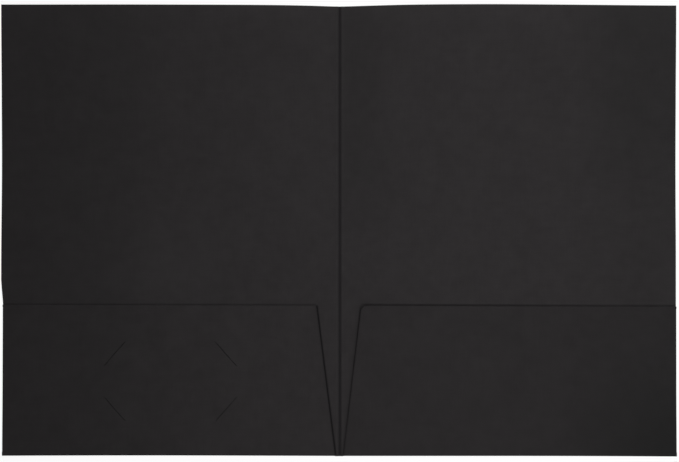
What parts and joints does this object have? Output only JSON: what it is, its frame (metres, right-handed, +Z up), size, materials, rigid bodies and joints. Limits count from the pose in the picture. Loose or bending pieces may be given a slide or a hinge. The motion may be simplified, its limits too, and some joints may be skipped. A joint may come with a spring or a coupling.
{
  "type": "two-pocket presentation folder",
  "caption": "Black card presentation folder lying open, a slanted pocket folded up and glued on each cover, card slits in the left pocket, scored spine.",
  "frame": {"origin": "middle of the open folder's footprint, on the table", "axes": "+X across the open folder, from the front cover to the back cover; +Y from the pockets' bottom folds to the top edge; +Z up from the table"},
  "size_m": [0.4572, 0.3048, 0.0012],
  "materials": {
    "cover_card": "matt black cover card, uncoated, with a fine tooth and lighter rubbed edges"
  },
  "bodies": {
    "back_cover": {"back_cover": "cover_card"},
    "front_cover": {"front_cover": "cover_card"}
  },
  "joints": [
    {"name": "spine_fold", "type": "hinge", "parent": "back_cover", "child": "front_cover", "pos_m": [0.0008, 0, 0.00144], "axis": [0, 1, 0], "range_deg": [0, 179]}
  ]
}
